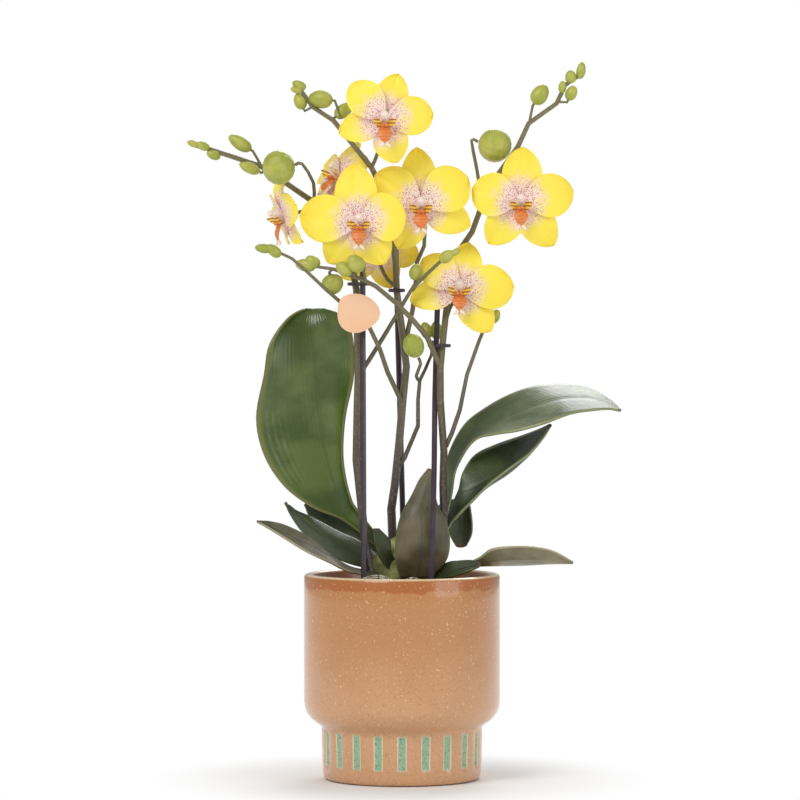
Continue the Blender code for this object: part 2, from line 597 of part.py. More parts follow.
def stem_mesh(name, clearance):
    if name in SPIKES:
        start, end, points = SPIKES[name]
    else:
        _, start, end, points = BRANCHES[name]
        points = list(points)
    if name == "branch_middle_high" and clearance == 0:
        points = points[:-1] + stalk_points("flower_centre")
    return tube_mesh(points, start + clearance, end + clearance)


def extras_on(name):
    """Small buds and the stalks of flowers and large buds that grow from one stem."""
    meshes = []
    for stem, tip, base, radius, joint in BUDS:
        if stem == name:
            meshes.append(egg_mesh(tip, base, radius))
            if joint:
                inside = Vector(base).lerp(tip, 0.3)
                bend = Vector(base) + (Vector(base) - Vector(tip)).normalized() * 1.5
                meshes.append(tube_mesh([joint, bend, inside], 0.8, 0.8))
    for flower, (stem, points) in STALKS.items():
        if stem == name and points:
            meshes.append(tube_mesh(stalk_points(flower), 1.1, 1.0, 2))
    for tip, base, radius, stem, points in LARGE_BUDS.values():
        if stem == name:
            back = (Vector(base) - Vector(tip)).normalized()
            ends = [Vector(base) + back * 4, Vector(base) + back * GAP]
            meshes.append(tube_mesh(points[:-1] + ends, 1.0, 0.9, 2))
    return meshes


def make_stems():
    stem_mat = material("stem", STEM_BROWN, 0.55)
    for name in list(SPIKES) + list(BRANCHES):
        stem = join_solids(name, [stem_mesh(name, 0)] + extras_on(name), stem_mat)
        if name in BRANCHES:
            parent = BRANCHES[name][0]
            cut_by(stem, parent + "_clearance", lambda parent=parent: stem_mesh(parent, GAP))


def cut_by(piece, cutter_name, build):
    """Cut a piece by the fattened copy of its neighbour, made on first use."""
    cutter = bpy.data.objects.get(cutter_name) or add_cutter(cutter_name, build())
    boolean(piece, cutter, "DIFFERENCE")


def make_large_buds():
    mat = material("bud", BUD_GREEN, 0.5)
    for name, (tip, base, radius, _, _) in LARGE_BUDS.items():
        mesh = egg_mesh(tip, base, radius, around=14, along=9)
        add_piece(name, mesh, mat)


def lobe_reach(angle, lobe):
    """Distance from the flower's centre to a lobe's edge along one direction."""
    clock, reach, half_width = lobe
    off = (angle - math.radians(clock) + math.pi) % (2 * math.pi) - math.pi
    a = PETAL_BASE * reach
    c = reach - a
    cos, sin = math.cos(off), math.sin(off)
    under = half_width ** 2 * cos ** 2 + (a * a - c * c) * sin ** 2
    spread = half_width ** 2 * cos ** 2 + a * a * sin ** 2
    return (c * cos * half_width ** 2 + a * half_width * math.sqrt(under)) / spread


def whorl_piece(name, centre, facing, lobes, offset, mat):
    """Sepals or petals of one flower: a sheet whose reach follows its lobes."""
    out, up = flower_frame(centre, facing, 0)
    side = flower_frame(centre, facing, 90)[1]
    angles = []
    for clock, _, _ in lobes:
        angles += [math.radians(clock + d) for d in (-66, -32, -14, 0, 14, 32, 66)]
    angles = sorted({round(a % (2 * math.pi), 3) for a in angles})
    bm = bmesh.new()
    origin = Vector(centre) + out * offset
    hub = bm.verts.new(origin * MM)
    rings = []
    for share in (0.5, 1.0):
        ring = []
        for angle in angles:
            reach = share * max(lobe_reach(angle, lobe) for lobe in lobes)
            along = up * math.cos(angle) + side * math.sin(angle)
            point = origin + along * reach - out * PETAL_REFLEX * reach ** 2
            ring.append(bm.verts.new(point * MM))
        rings.append(ring)
    count = len(angles)
    for i in range(count):
        j = (i + 1) % count
        bm.faces.new((hub, rings[0][i], rings[0][j]))
        bm.faces.new((rings[0][i], rings[1][i], rings[1][j], rings[0][j]))
    mesh = bpy.data.meshes.new(name)
    bm.to_mesh(mesh)
    bm.free()
    piece = add_piece(name, mesh, mat)
    add_solidify(piece, PETAL_THICKNESS)
    return piece


def make_lip(name, centre, facing, mat):
    """Column and lip: a small rounded post over a tongue that points down and forward."""
    out, up = flower_frame(centre, facing, 0)
    base = Vector(centre) + out * (WHORL_OFFSET + PETAL_THICKNESS / 2 + GAP)
    column = egg_mesh(base + out * 8 + up * 1.5, base, 2.2, 8, 5)
    tongue = egg_mesh(base + out * 8.5 - up * 13, base + out * 0.2 + up * 0.5, 2.4, 8, 5)
    return join_solids(name, [column, tongue], mat)


def make_flowers():
    petal_mat = material("petal", YELLOW, 0.5)
    lip_mat = material("lip", (0.8, 0.25, 0.08), 0.5)
    for name, (centre, facing, lobes) in FLOWERS.items():
        stem = name.replace("flower_", "")
        whorl_piece("sepals_" + stem, centre, facing, lobes["sepals"], -WHORL_OFFSET, petal_mat)
        whorl_piece("petals_" + stem, centre, facing, lobes["petals"], WHORL_OFFSET, petal_mat)
        make_lip("lip_" + stem, centre, facing, lip_mat)


# ---------------------------------------------------------------- leaves, supports and tag

def make_leaves():
    colours = {"leaf_front": OLIVE, "leaf_low_right": OLIVE, "leaf_low_left": OLIVE}
    for name, margins in LEAVES.items():
        colour = colours.get(name, SHEET_GREEN)
        mat = material("olive_leaf" if colour is OLIVE else "green_leaf", colour, 0.4)
        leaf_piece(name, margins, mat)


def make_stakes():
    mat = material("stake_plastic", (0.05, 0.03, 0.04), 0.4)
    for name, points in STAKES.items():
        add_piece(name, tube_mesh(points, STAKE_RADIUS, STAKE_RADIUS, 2 if len(points) > 2 else 4), mat)


def make_clips():
    """Each clip is a closed loop of wire round a stake and the stem beside it."""
    mat = material("clip_plastic", (0.05, 0.03, 0.05), 0.4)
    for name, (height, stake, stem) in CLIPS.items():
        a = point_at_height(STAKES[stake], height)
        b = point_at_height(SPIKES[stem][2], height)
        b.z = height
        a.z = height
        middle = (a + b) * 0.5
        along = (b - a).normalized()
        across = Vector((-along.y, along.x, 0))
        clear = 2.5 + GAP + CLIP_WIRE
        half = (b - a).length * 0.5
        loop = []
        for i in range(16):
            t = 2 * math.pi * i / 16
            end = half if math.cos(t) > 0 else -half
            loop.append(middle + along * (end + clear * math.cos(t)) + across * clear * math.sin(t))
        add_piece(name, loop_mesh(loop, CLIP_WIRE), mat)


def point_at_height(points, height):
    low, high = 0.0, 1.0
    for _ in range(40):
        mid = (low + high) / 2
        if on_route(points, mid).z < height:
            low = mid
        else:
            high = mid
    return on_route(points, low)


def loop_mesh(points, radius):
    """Closed ring of wire through the points."""
    curve = bpy.data.curves.new("loop", "CURVE")
    curve.dimensions = "3D"
    curve.bevel_depth = radius * MM
    curve.bevel_resolution = 1
    spline = curve.splines.new("POLY")
    spline.points.add(len(points) - 1)
    spline.use_cyclic_u = True
    for target, point in zip(spline.points, points):
        target.co = (*(point * MM), 1)
    carrier = bpy.data.objects.new("loop", curve)
    ORCHID.objects.link(carrier)
    bpy.context.view_layer.update()
    mesh = bpy.data.meshes.new_from_object(
        carrier.evaluated_get(bpy.context.evaluated_depsgraph_get()))
    bpy.data.objects.remove(carrier, do_unlink=True)
    bpy.data.curves.remove(curve)
    return mesh


def make_tag():
    """Bare card tag, an egg-shaped plate."""
    curve = bpy.data.curves.new("tag", "CURVE")
    curve.dimensions = "2D"
    curve.fill_mode = "BOTH"
    curve.extrude = TAG_THICKNESS / 2 * MM
    spline = curve.splines.new("POLY")
    steps = 24
    spline.points.add(steps - 1)
    spline.use_cyclic_u = True
    for i, point in enumerate(spline.points):
        t = 2 * math.pi * i / steps
        swell = 1 + 0.16 * math.cos(t - math.radians(35)) + 0.05 * math.cos(3 * t + 0.6)
        point.co = (TAG_HALF[0] * swell * math.cos(t) * MM, TAG_HALF[1] * math.sin(t) * MM, 0, 1)
    carrier = bpy.data.objects.new("tag_outline", curve)
    ORCHID.objects.link(carrier)
    bpy.context.view_layer.update()
    mesh = bpy.data.meshes.new_from_object(
        carrier.evaluated_get(bpy.context.evaluated_depsgraph_get()))
    bpy.data.objects.remove(carrier, do_unlink=True)
    bm = bmesh.new()
    bm.from_mesh(mesh)
    bmesh.ops.remove_doubles(bm, verts=bm.verts, dist=0.00001)
    bmesh.ops.recalc_face_normals(bm, faces=bm.faces)
    bm.to_mesh(mesh)
    bm.free()
    tag = add_piece("tag", mesh, material("card", (0.8, 0.55, 0.35), 0.7))
    tag.rotation_euler = (math.radians(90), 0, math.radians(TAG_TURN))
    tag.location = Vector(TAG_CENTRE) * MM


def make_roots():
    mat = material("root", (0.6, 0.58, 0.5), 0.7)
    for name, (radius, points) in ROOTS.items():
        add_piece(name, tube_mesh(points, radius, radius * 0.8, 2), mat)


def seat_pieces(bark):
    """Cut what meets the crown, and let crown, stakes and roots into the bark."""
    for name in list(LEAVES) + list(SPIKES):
        piece = bpy.data.objects[name]
        cut_by(piece, "crown_clearance", lambda: crown_mesh(GAP))
    cut_by(bark, "crown_clearance", lambda: crown_mesh(GAP))
    for name, points in STAKES.items():
        steps = 2 if len(points) > 2 else 4
        cut_by(bark, name + "_clearance",
               lambda: tube_mesh(points, STAKE_RADIUS + GAP, STAKE_RADIUS + GAP, steps))
    for name, (radius, points) in ROOTS.items():
        cut_by(bark, name + "_clearance",
               lambda: tube_mesh(points, radius + GAP, radius * 0.8 + GAP, 2))


def main():
    make_ceramic_pot()
    make_grow_pot()
    bark = make_bark()
    add_piece("crown", crown_mesh(0), material("crown_green", (0.3, 0.33, 0.1), 0.5))
    make_leaves()
    make_stems()
    make_stakes()
    make_roots()
    seat_pieces(bark)
    make_large_buds()
    make_flowers()
    make_clips()
    make_tag()


main()
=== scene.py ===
import math
import random
import bmesh
import bpy
from mathutils import Matrix, Vector, noise


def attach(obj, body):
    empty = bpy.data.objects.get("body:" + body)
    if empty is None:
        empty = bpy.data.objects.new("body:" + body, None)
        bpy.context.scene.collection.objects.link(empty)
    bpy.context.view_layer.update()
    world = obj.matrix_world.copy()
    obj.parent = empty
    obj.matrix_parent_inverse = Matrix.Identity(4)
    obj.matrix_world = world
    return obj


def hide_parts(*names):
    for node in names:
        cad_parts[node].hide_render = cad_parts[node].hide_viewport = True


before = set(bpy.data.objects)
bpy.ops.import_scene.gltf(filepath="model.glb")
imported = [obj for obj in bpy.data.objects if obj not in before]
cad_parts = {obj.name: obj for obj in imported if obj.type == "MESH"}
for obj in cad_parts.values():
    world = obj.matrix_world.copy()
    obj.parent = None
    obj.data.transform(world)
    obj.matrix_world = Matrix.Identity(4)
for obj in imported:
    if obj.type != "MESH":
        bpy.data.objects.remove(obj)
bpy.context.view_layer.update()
MM = 0.001

# Sizes below are in millimetres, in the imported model's frame

# Fluted foot of the cover pot
GROOVES = 21
GROOVE_SIDES = 14             # steps round the pot for each groove
GROOVE_DEPTH = 1.3
GROOVE_START = 0.45           # share of the wave that stays uncut
RIB_SWELL = 0.35
GROOVE_BOTTOM = 7.0
GROOVE_TOP = 28.6
FOOT_TOP = (45.0, 28.2)       # radius and height at the top of the foot's wall
FOOT_BOTTOM = (44.4, 3.8)
FOOT_STEPS = 12

# Bed of bark chips
BED_RADIUS = 46.0
BED_HEIGHT = 103.0
BED_CROWN = 5.5               # how far the bed's middle stands over its edge
CHIPS = 230

# Sheets
LEAF_THICKNESS = 1.3
PETAL_THICKNESS = 0.45
LIP_THICKNESS = 0.35
PETAL_REFLEX = 0.0040         # how far petals bend back, per millimetre squared
WHORL_LIFT = 0.9              # petals stand this far before the flower's plane, sepals behind

BUD_SKIN = 0.3                # how far a bud's skin stands out from its solid

# Camera and floor, in metres
CAMERA_PLACE = (-0.0011, -2.2, 0.249)
CAMERA_LENS = 176.4
CAMERA_TILT = 0.951
FLOOR_DROP = 0.0003

# Flowers: centre, the way it faces, and its five lobes as (clock angle, reach, half width)
FLOWERS = {
    "flower_top": ((-10, -30, 368), (0.08, -0.99, 0.0), dict(
        sepals=[(18, 27, 9.5), (-106, 26, 9), (163, 25, 10)],
        petals=[(-42, 27, 10.5), (82, 28, 11)])),
    "flower_front": ((-23.5, -26, 311.5), (-0.05, -0.99, 0.0), dict(
        sepals=[(-7, 33, 12), (-141, 29, 11), (149, 27, 11)],
        petals=[(-84, 34, 13.5), (79, 26, 14)])),
    "flower_centre": ((10.5, -14, 321), (0.0, -1.0, 0.0), dict(
        sepals=[(-4, 33, 10), (-152, 27, 10), (112, 30, 10)],
        petals=[(-55, 31, 12), (58, 31, 13.5)])),
    "flower_upper_right": ((66, -8, 323), (0.05, -0.99, 0.0), dict(
        sepals=[(4, 31.5, 11.5), (-143, 29, 10.5), (141, 31, 10.5)],
        petals=[(-74, 28, 12.5), (77, 31, 12.5)])),
    "flower_lower_right": ((32, -5, 274), (0.0, -0.98, 0.2), dict(
        sepals=[(12, 29, 10), (-100, 28, 9), (142, 29, 10)],
        petals=[(-47, 28, 10.5), (85, 31, 13)])),
    "flower_left_profile": ((-65.5, -2, 316), (-0.92, -0.33, -0.22), dict(
        sepals=[(0, 22, 9), (-140, 21, 8), (140, 21, 8)],
        petals=[(-75, 21, 10), (75, 21, 10)])),
    "flower_upper_left": ((-35, 10, 338), (-0.70, -0.55, 0.45), dict(
        sepals=[(0, 24, 8.5), (-140, 22, 8), (140, 22, 8)],
        petals=[(-70, 22, 10), (70, 23, 10)])),
    "flower_behind": ((-14, 17, 298), (0.05, 1.0, 0.05), dict(
        sepals=[(0, 24, 9), (-160, 24, 9), (130, 26, 9)],
        petals=[(-100, 24, 9), (75, 25, 10)])),
}

# Leaves: left margin, midrib and right margin, each from the leaf's foot to its tip
LEAVES = {
    "leaf_upright_left": ([
        (-10, -0.5, 126), (-32, 4, 144), (-49.5, 6, 151.5), (-66, 7, 163.5), (-77.5, 7, 181),
        (-82, 7, 202), (-77.5, 6, 226.5), (-74.5, 7, 243.5), (-64.5, 11, 258), (-54.5, 18, 263.5),
        (-53.5, 25, 259.5)], [
        (-9, 1.5, 127.5), (-28, 7, 148), (-35, 10, 158), (-40.5, 13, 172.5), (-44.5, 15, 189.5),
        (-47, 15, 209.5), (-49, 15, 232), (-50.5, 15, 249), (-51, 17, 258.5), (-50, 21, 263.5),
        (-49.5, 27, 258.5)], [
        (-8.5, 3.5, 129.5), (-25.5, 3, 151), (-29, 2, 157.5), (-32.5, 2, 171.5), (-33.5, 3, 185.5),
        (-32, 3, 204), (-27.5, 3, 225), (-27.5, 3, 243.5), (-31.5, 6, 258.5), (-43.5, 17, 263.5),
        (-45.5, 26, 259.5)]),
    "leaf_dark_left": ([
        (-14.5, -1, 117), (-28, -3, 120), (-37.5, -6, 124.5), (-47, -8, 131), (-56.5, -9, 139.5),
        (-63, -9, 149), (-65.5, -8, 155)], [
        (-14, 0, 121.5), (-26.5, -1, 126.5), (-36, -2, 132), (-46, -4, 138), (-55, -6, 145),
        (-61, -8, 150.5), (-65.5, -7.7, 155.3)], [
        (-13.5, 3, 124.5), (-24.5, 5, 133), (-33.5, 5, 137), (-43, 3, 142), (-52, 0, 147),
        (-59.5, -6, 150.5), (-65, -8, 155.5)]),
    "leaf_dark_back": ([
        (-13.5, 6, 122.5), (-26.5, 8, 123.5), (-36, 10, 130), (-45, 12, 138), (-52, 13, 145.5),
        (-55, 13.5, 153)], [
        (-13, 8, 126.5), (-25.5, 11, 130), (-34.5, 14, 137), (-43, 15, 144.5), (-49.5, 15, 150),
        (-55, 14, 153.5)], [
        (-12.5, 10, 130.5), (-24.5, 14, 139), (-33.5, 17, 145.5), (-41.5, 18, 150),
        (-48, 17, 153), (-54.6, 14.5, 154)]),
    "leaf_low_left": ([
        (-13, -4, 113), (-29.5, -14, 117), (-40.5, -19, 122.5), (-53.5, -24, 129),
        (-66, -28, 137), (-74.5, -31, 142.5), (-80, -32, 145.5)], [
        (-13, -2, 115), (-28.5, -10, 117.5), (-39, -13, 124), (-52.5, -17, 132), (-65, -22, 139),
        (-74.5, -27, 143), (-80, -31.8, 146)], [
        (-13, 0, 116), (-27.5, -6, 118.5), (-38, -9, 124.5), (-52.5, -11, 136),
        (-64.5, -17, 142.5), (-73.5, -24, 145.5), (-79.8, -31.6, 146.4)]),
    "leaf_front": ([
        (-1, -8, 113.5), (-3.5, -12, 123.5), (-3, -13, 137.5), (0, -12, 149), (5.5, -9, 159),
        (10, -6, 168), (15, -4, 174)], [
        (8, -9, 113.5), (10.5, -15, 123.5), (11, -18, 137.5), (11, -16, 149), (13, -12, 158.5),
        (14.5, -9, 165.5), (16, -5, 173.8)], [
        (15, -7, 113.5), (24.5, -11, 123), (26.5, -12, 134.5), (24.5, -11.5, 144.5),
        (19.5, -10.5, 154.5), (18, -8, 164), (17, -5, 173.5)]),
    "leaf_arching_right": ([
        (16, 6, 124), (24, 15, 159), (26, 18, 179.5), (35, 20, 197.5), (47.5, 22, 207.5),
        (61.5, 25, 215), (75.5, 26, 219.5), (89.5, 25, 220.5), (103.5, 20, 219.5),
        (115.5, 10, 213.5), (122.5, 0.6, 207.2)], [
        (16.5, 5, 124), (25.5, 11, 156), (28.5, 12, 175.5), (39.5, 10, 191.5), (52.5, 7, 199.5),
        (65.5, 5, 205.5), (78.5, 4, 210), (92, 3, 213), (105, 2, 213), (115.5, 1, 210),
        (123, 0, 206.5)], [
        (17, 4, 124), (27, 8, 154.5), (30.5, 7, 173.5), (40, -3, 189.5), (51.5, -11, 193.5),
        (64, -16, 195.5), (78.5, -18, 199.5), (93.5, -17, 205), (106.5, -13, 207),
        (116, -6, 207.5), (122.5, -0.6, 206.3)]),
    "leaf_channelled_right": ([
        (17.5, 3.3, 123), (26, 3, 147), (32, 3, 161), (34, 5, 171), (41, 11, 181), (53.5, 15, 187),
        (68, 13, 192), (78, 7, 196), (83.5, 0.6, 199)], [
        (18, 2.8, 121), (26, 1.5, 145), (32, 0, 159), (39, -1, 163), (47.5, -2, 167),
        (58, -3, 172.5), (68, -3, 181), (77, -2, 190), (83.8, 0, 198.6)], [
        (19, 2.4, 118.5), (26.5, 0.3, 141), (31, -4, 147), (38, -8, 154.5), (49, -12, 166),
        (61, -13, 175.5), (71.5, -11, 183), (79, -6, 191.5), (83.5, -0.6, 198.4)]),
    "leaf_drooping_back": ([
        (11, 5, 126), (17, 18, 146), (23, 26, 152.5), (26, 33, 143.5), (27.5, 36, 135),
        (31, 38, 128)], [
        (12.5, 5, 126), (22, 20, 149), (31, 27, 155.5), (33.5, 35, 146.5), (33.5, 38, 136.5),
        (34, 38.5, 127.5)], [
        (14, 5, 125), (28, 21, 151), (37, 28, 155), (39.5, 33, 146.5), (40, 36, 136),
        (37, 38, 128.5)]),
    "leaf_low_right": ([
        (20, 2, 117), (34, 0, 118.5), (44, -1, 119.5), (55, -2, 119.8), (69, -4, 120.2),
        (81.5, -9, 121.2), (95, -15.5, 121.8)], [
        (20, 0, 118), (33.5, -4, 119.5), (43.5, -8, 121.5), (54.5, -11, 123.5),
        (68.5, -14, 124.5), (81.5, -15, 124), (95.5, -16, 122)], [
        (20, -1.5, 119), (34, -8, 120.5), (43, -14, 124.5), (51, -18, 130), (68.5, -20, 131.5),
        (83.5, -20, 129), (95, -16.5, 122.6)]),
    "leaf_short_right": ([
        (18, -4, 112.5), (25, -13, 113.4), (31, -18, 115.2), (38, -20, 118), (43, -20, 120)], [
        (18, -3, 115), (25, -11, 116.5), (32, -15, 118.5), (38.5, -17.5, 120),
        (43.5, -19, 121.5)], [
        (18, -2, 117), (26, -10, 122), (32, -13, 123), (38.5, -16, 123.5), (43.5, -18.5, 122.5)]),
    "leaf_small_centre": ([
        (-6, -5, 116), (-12, -10.5, 124), (-15, -13, 132.5), (-16, -14, 140.5)], [
        (-4, -4, 118), (-9.5, -9, 126), (-12.5, -11.5, 134), (-15.5, -13.6, 141)], [
        (-2, -4, 120), (-6, -8.5, 127.5), (-7, -9, 134.5), (-13, -12, 141)]),
}

# Small buds: stem, tip, base and radius of each
BUDS = [
    ("spike_left", (-120, -4, 357), (-114, -4, 355), 1.6),
    ("spike_left", (-115, -4, 356), (-108, -3, 353.5), 2.2),
    ("spike_left", (-109, -4, 351), (-102, -2, 348.5), 2.4),
    ("spike_left", (-97, 4, 360.5), (-85, 4, 353), 3.6),
    ("spike_left", (-91, 1, 345), (-80, 3, 340.5), 2.9),
    ("spike_middle", (-61, -6, 390), (-54, -6, 387), 2.5),
    ("spike_middle", (-62, -8, 386.5), (-56, -6, 385), 1.6),
    ("spike_middle", (-59, -5, 383.5), (-55, -6, 375.5), 3.2),
    ("spike_middle", (-52, -6, 381.5), (-39, -8, 380), 4.8),
    ("spike_middle", (-28, -3, 378), (-37, -6, 371), 3.6),
    ("spike_right", (101, -3, 401.5), (99.5, -3, 392.5), 2.3),
    ("spike_right", (94.5, -3, 397), (94.5, -3, 390), 2.9),
    ("spike_right", (90, -4, 391), (89.5, -4, 384.5), 1.9),
    ("spike_right", (96.5, -5, 388), (93, -5, 380.5), 3.0),
    ("spike_right", (80.5, -4, 388.5), (74, -3, 378.5), 4.5),
    ("branch_behind_tag", (-80.5, -46, 297), (-72, -44, 296), 2.3),
    ("branch_behind_tag", (-74, -45, 298), (-67, -43, 292.5), 2.8),
    ("branch_left_inner", (28, -29, 295), (21.5, -25, 290), 3.0),
    ("branch_left_inner", (32, -30, 296), (27, -28, 293.5), 1.6),
    ("branch_left_inner", (8.5, -10, 288.5), (7.5, -10, 279.5), 3.7),
    ("branch_right_inner", (-29, -37, 292), (-22, -33, 285), 4.3),
    ("branch_right_inner", (-36, -33, 288), (-28, -32, 283), 3.6),
    ("branch_right_inner", (-59, -19, 288.5), (-48, -22, 287), 3.4),
    ("branch_right_inner", (-53, -22, 292), (-46, -23, 287.5), 3.0),
    ("branch_right_inner", (-37, -20, 272), (-40, -20, 282.5), 5.8),
    ("branch_middle_low", (12.5, 9, 256), (15, 9, 247), 3.1),
    ("branch_middle_low", (19, 12, 256.5), (20, 10, 246.5), 3.3),
    ("branch_right_outer", (54, 6, 263), (51, 7, 256), 2.5),
]


def on_route(points, place):
    """Point of a smooth curve through the points, place running from 0 to 1."""
    spans = len(points) - 1
    at = min(max(place, 0.0), 1.0) * spans
    i = min(int(at), spans - 1)
    t = at - i
    p1 = Vector(points[i])
    p2 = Vector(points[i + 1])
    p0 = Vector(points[i - 1]) if i > 0 else 2 * p1 - p2
    p3 = Vector(points[i + 2]) if i + 2 <= spans else 2 * p2 - p1
    return 0.5 * (2 * p1 + (p2 - p0) * t + (2 * p0 - 5 * p1 + 4 * p2 - p3) * t * t
                  + (3 * p1 - p0 - 3 * p2 + p3) * t ** 3)


# ---------------------------------------------------------------- material maths

class Field:
    """One output of a material's maths, with ordinary arithmetic on it."""

    def __init__(self, finish, socket):
        self.finish = finish
        self.socket = socket

    def __add__(self, other):
        return self.finish.maths("ADD", self, other)

    def __sub__(self, other):
        return self.finish.maths("SUBTRACT", self, other)

    def __mul__(self, other):
        return self.finish.maths("MULTIPLY", self, other)

    def __rsub__(self, other):
        return self.finish.maths("SUBTRACT", other, self)

    __radd__ = __add__
    __rmul__ = __mul__


class Finish:
    """A material under construction, with its main shader's constants set by name."""

    def __init__(self, name, **constants):
        self.material = bpy.data.materials.new(name)
        self.material.use_nodes = True
        self.tree = self.material.node_tree
        self.surface = self.tree.nodes["Principled BSDF"]
        for key, value in constants.items():
            self.surface.inputs[key.replace("_", " ").title()].default_value = value

    def node(self, kind, settings, inputs):
        made = self.tree.nodes.new(kind)
        for key, value in settings.items():
            setattr(made, key, value)
        for key, value in inputs.items():
            self.feed(made.inputs[key], value)
        return made

    def feed(self, socket, value):
        if isinstance(value, Field):
            self.tree.links.new(value.socket, socket)
        elif isinstance(value, tuple) and len(value) == 3 and socket.type == "RGBA":
            socket.default_value = (*value, 1)
        else:
            socket.default_value = value

    def maths(self, operation, *values):
        made = self.node("ShaderNodeMath", {"operation": operation}, dict(enumerate(values)))
        return Field(self, made.outputs[0])

    def mix(self, factor, first, second):
        made = self.node("ShaderNodeMix", {"data_type": "RGBA"},
                         {0: factor, 6: first, 7: second})
        return Field(self, made.outputs[2])

    def step(self, value, low, high):
        """0 below low and 1 above high, with a smooth rise between."""
        made = self.node("ShaderNodeMapRange", {"interpolation_type": "SMOOTHSTEP"},
                         {0: value, 1: low, 2: high})
        return Field(self, made.outputs[0])

    def place(self):
        """Position in millimetres, as a vector and its x, y and z."""
        found = self.node("ShaderNodeTexCoord", {}, {})
        scaled = self.node("ShaderNodeVectorMath", {"operation": "SCALE"},
                           {0: Field(self, found.outputs["Object"]), 3: 1000.0})
        return self.parts(Field(self, scaled.outputs[0]))

    def over_sheet(self):
        """Place on a leaf: across it and along it, each from 0 to 1."""
        found = self.node("ShaderNodeUVMap", {"uv_map": "sheet"}, {})
        return self.parts(Field(self, found.outputs[0]))

    def parts(self, vector):
        split = self.node("ShaderNodeSeparateXYZ", {}, {0: vector})
        return vector, *(Field(self, split.outputs[i]) for i in range(3))

    def noise(self, vector, scale, detail=3.0):
        made = self.node("ShaderNodeTexNoise", {},
                         {"Vector": vector, "Scale": scale, "Detail": detail})
        return Field(self, made.outputs[0])

    def colour(self, value):
        self.feed(self.surface.inputs["Base Color"], value)

    def roughness(self, value):
        self.feed(self.surface.inputs["Roughness"], value)

    def bump(self, height, distance, strength=1.0):
        made = self.node("ShaderNodeBump", {}, {"Height": height, "Distance": distance,
                                                "Strength": strength})
        self.feed(self.surface.inputs["Normal"], Field(self, made.outputs[0]))


# ---------------------------------------------------------------- finishes

def speckled_glaze():
    """Tan glaze with freckles, a painted reflection as a darker orange stripe under the pale lip,
    and mint in the grooves.
    """
    finish = Finish("speckled_glaze", roughness=0.3, coat_weight=0.6, coat_roughness=0.12)
    vector, x, y, z = finish.place()
    broad = finish.noise(vector, 0.05)
    body = finish.mix(finish.step(z + broad * 30, 40.0, 110.0), (0.62, 0.33, 0.16),
                      (0.50, 0.22, 0.07))
    # Painted reflection: a darker orange stripe just under the pale lip stands in for the studio
    # reflected in the glaze.
    painted_reflection_band = finish.step(z + finish.noise(vector, 0.12) * 6, 110.0, 111.5)
    body = finish.mix(painted_reflection_band, body, (0.42, 0.13, 0.025))
    body = finish.mix(finish.step(z, 113.7, 114.6), body, (0.86, 0.66, 0.42))
    freckles = finish.step(finish.noise(vector, 1.1, 2.0), 0.58, 0.68)
    body = finish.mix(freckles * 0.6, body, (0.36, 0.16, 0.06))
    pale = finish.step(finish.noise(vector, 0.75, 2.0), 0.64, 0.72)
    body = finish.mix(pale * 0.5, body, (0.88, 0.68, 0.48))
    turn = finish.maths("ARCTAN2", y, x) * GROOVES + math.pi * GROOVES / 2
    groove = finish.step(finish.maths("COSINE", turn), 0.45, 0.7)
    reach = finish.step(z, 7.6, 9.4) * (1 - finish.step(z, 26.5, 28.4))
    outside = finish.step(finish.maths("SQRT", x * x + y * y), 41.5, 42.0)
    mint = finish.mix(finish.step(finish.noise(vector, 0.9), 0.52, 0.66), (0.30, 0.50, 0.30),
                      (0.16, 0.30, 0.18))
    pale_edge = finish.step(finish.maths("COSINE", turn), 0.2, 0.45) * reach * outside
    body = finish.mix(pale_edge * 0.7, body, (0.86, 0.72, 0.55))
    finish.colour(finish.mix(groove * reach * outside, body, mint))
    finish.bump(finish.noise(vector, 0.5), 0.00025)
    return finish.material


def petal_skin():
    """Yellow, with a pink-white heart that carries maroon freckles."""
    finish = Finish("petal_skin", roughness=0.5, subsurface_weight=0.12, subsurface_scale=0.002)
    vector, x, y, _ = finish.place()
    out = finish.maths("SQRT", x * x + y * y)
    cloud = finish.noise(vector, 0.16)
    blush = 1 - finish.step(out + cloud * 12, 13.0, 25.0)
    body = finish.mix(finish.step(out, 20.0, 34.0), (0.96, 0.78, 0.07), (0.92, 0.68, 0.04))
    body = finish.mix(blush * 0.85, body, (0.93, 0.72, 0.76))
    freckles = finish.step(finish.noise(vector, 1.5, 1.0), 0.57, 0.63)
    near = 1 - finish.step(out, 8.0, 18.0)
    finish.colour(finish.mix(freckles * near * 0.9, body, (0.36, 0.03, 0.10)))
    finish.bump(finish.noise(vector, 0.9, 2.0), 0.0002, 0.6)
    return finish.material


def lip_skin(name, ground, marks, amount):
    """One ground colour crossed by wavy bars."""
    finish = Finish(name, roughness=0.4, subsurface_weight=0.1, subsurface_scale=0.001)
    vector, _, y, _ = finish.place()
    bars = finish.maths("SINE", y * 3.4 + finish.noise(vector, 0.5) * 5)
    finish.colour(finish.mix(finish.step(bars, 0.1, 0.5) * amount, ground, marks))
    return finish.material


